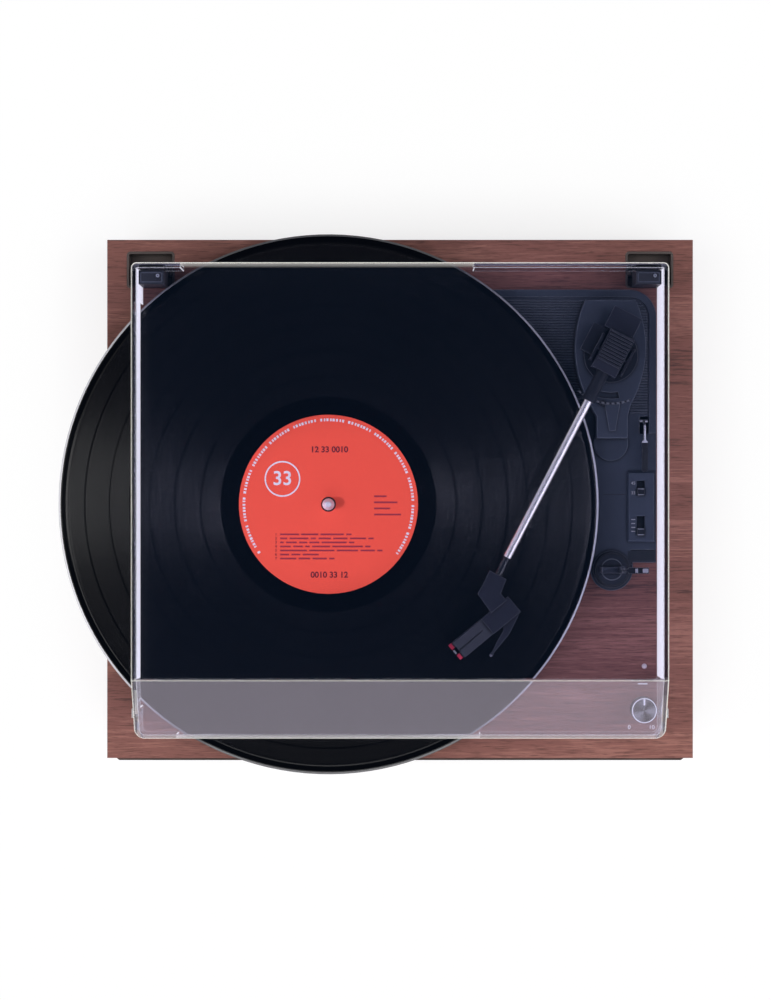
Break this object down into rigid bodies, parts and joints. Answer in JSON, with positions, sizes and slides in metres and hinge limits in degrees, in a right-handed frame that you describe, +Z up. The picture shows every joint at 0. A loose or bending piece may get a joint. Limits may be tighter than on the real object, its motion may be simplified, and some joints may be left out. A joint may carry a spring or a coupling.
{
  "type": "record player",
  "caption": "Compact belt-drive record player: wooden plinth, black deck with a straight tone arm, record on the platter, clear hinged dust cover with record cut-outs.",
  "frame": {"origin": "middle of the bounding box at rest, on the table under the feet; the record's overhang counts, so the plinth's middle is 13 mm to the right and 3 mm to the rear", "axes": "+X to the right, +Y to the rear, +Z up; the user sits on the -Y side"},
  "size_m": [0.356, 0.302, 0.125],
  "materials": {
    "wood": "satin veneer",
    "dark_wood": "satin",
    "block_wood": "raw",
    "base_board": "matte",
    "deck_plastic": "fine grain",
    "black_plastic": "satin",
    "shell_plastic": "satin",
    "red_plastic": "gloss",
    "rubber": "matte",
    "felt": "matte",
    "vinyl": "grooved gloss",
    "label_paper": "matte",
    "steel": "satin",
    "chrome": "polished",
    "tube_metal": "polished",
    "platter_metal": "cast",
    "brass": "turned",
    "can_metal": "satin",
    "board": "satin",
    "light": "translucent",
    "knob_metal": "satin anodised",
    "acrylic": "clear",
    "pad": "translucent"
  },
  "bodies": {
    "chassis": {"top_panel": "wood", "front_panel": "wood", "rear_panel": "wood", "left_panel": "wood", "right_panel": "wood", "front_fascia": "dark_wood", "corner_blocks": "block_wood", "bottom_panel": "base_board", "base_screws": "steel", "feet": "rubber", "deck_plate": "deck_plastic", "deck_screws": "steel", "arm_pedestal": "deck_plastic", "spindle_bush": "brass", "motor_can": "can_metal", "drive_belt": "rubber", "arm_bush": "brass", "switch_plate": "deck_plastic", "switch_bodies": "black_plastic", "cue_bracket": "black_plastic", "arm_rest": "black_plastic", "clip_pin": "steel", "volume_pot": "can_metal", "power_light": "light", "circuit_board": "board", "board_posts": "brass", "jack_plate": "black_plastic", "phono_sockets": "chrome", "power_inlet": "black_plastic", "jack_screws": "steel", "hinge_cups": "black_plastic", "hinge_pins": "steel"},
    "motor": {"motor_pulley": "brass"},
    "platter": {"platter": "platter_metal", "slip_mat": "felt", "record": "vinyl", "record_label": "label_paper", "spindle": "chrome"},
    "turret": {"arm_turret": "black_plastic", "arm_shaft": "steel", "gimbal_pins": "steel"},
    "arm": {"rear_block": "shell_plastic", "arm_collar": "black_plastic", "arm_tube": "tube_metal", "arm_ferrule": "black_plastic", "headshell": "shell_plastic", "finger_lift": "shell_plastic", "cartridge": "shell_plastic", "stylus_holder": "red_plastic", "stylus": "steel"},
    "lift": {"lift_platform": "black_plastic"},
    "cue": {"cue_lever": "black_plastic"},
    "speed_switch": {"speed_knob": "black_plastic"},
    "stop_switch": {"stop_knob": "black_plastic"},
    "clip": {"rest_clip": "black_plastic"},
    "volume": {"volume_knob": "knob_metal"},
    "lid": {"dust_cover": "acrylic", "hinge_lugs": "black_plastic", "lid_bumpers": "pad"}
  },
  "joints": [
    {"name": "platter_spin", "type": "hinge", "parent": "chassis", "child": "platter", "pos_m": [-0.027, 0, 0.085], "axis": [0, 0, 1], "continuous": true},
    {"name": "motor_spin", "type": "hinge", "parent": "chassis", "child": "motor", "pos_m": [-0.0772, 0.0502, 0.08], "axis": [0, 0, 1], "continuous": true},
    {"name": "tonearm_swing", "type": "hinge", "parent": "chassis", "child": "turret", "pos_m": [0.1305, 0.083, 0.092], "axis": [0, 0, 1], "range_deg": [-17, 28.1]},
    {"name": "tonearm_tilt", "type": "hinge", "parent": "turret", "child": "arm", "pos_m": [0.1305, 0.083, 0.1035], "axis": [-0.8878, 0.4602, 0], "range_deg": [0, 2]},
    {"name": "lift_slide", "type": "slide", "parent": "chassis", "child": "lift", "axis": [0, 0, 1], "range_m": [0, 0.00096]},
    {"name": "cue_hinge", "type": "hinge", "parent": "chassis", "child": "cue", "pos_m": [0.1503, 0.047, 0.0738], "axis": [-1, 0, 0], "range_deg": [0, 50.5]},
    {"name": "speed_slide", "type": "slide", "parent": "chassis", "child": "speed_switch", "axis": [0, 1, 0], "range_m": [0, 0.004]},
    {"name": "stop_slide", "type": "slide", "parent": "chassis", "child": "stop_switch", "axis": [0, 1, 0], "range_m": [0, 0.0066]},
    {"name": "clip_hinge", "type": "hinge", "parent": "chassis", "child": "clip", "pos_m": [0.13636, -0.03659, 0.1075], "axis": [0, 1, 0], "range_deg": [-175, 0]},
    {"name": "volume_turn", "type": "hinge", "parent": "chassis", "child": "volume", "pos_m": [0.1496, -0.1147, 0.08], "axis": [0, 0, 1], "range_deg": [-150, 150]},
    {"name": "lid_hinge", "type": "hinge", "parent": "chassis", "child": "lid", "pos_m": [0.013, 0.1314, 0.0735], "axis": [-1, 0, 0], "range_deg": [0, 70]}
  ],
  "couplings": [
    {"joint": "motor_spin", "follows": "platter_spin", "ratio": 10.649},
    {"joint": "lift_slide", "follows": "tonearm_tilt", "m_per_rad": 0.027},
    {"joint": "cue_hinge", "follows": "tonearm_tilt", "ratio": 25}
  ]
}
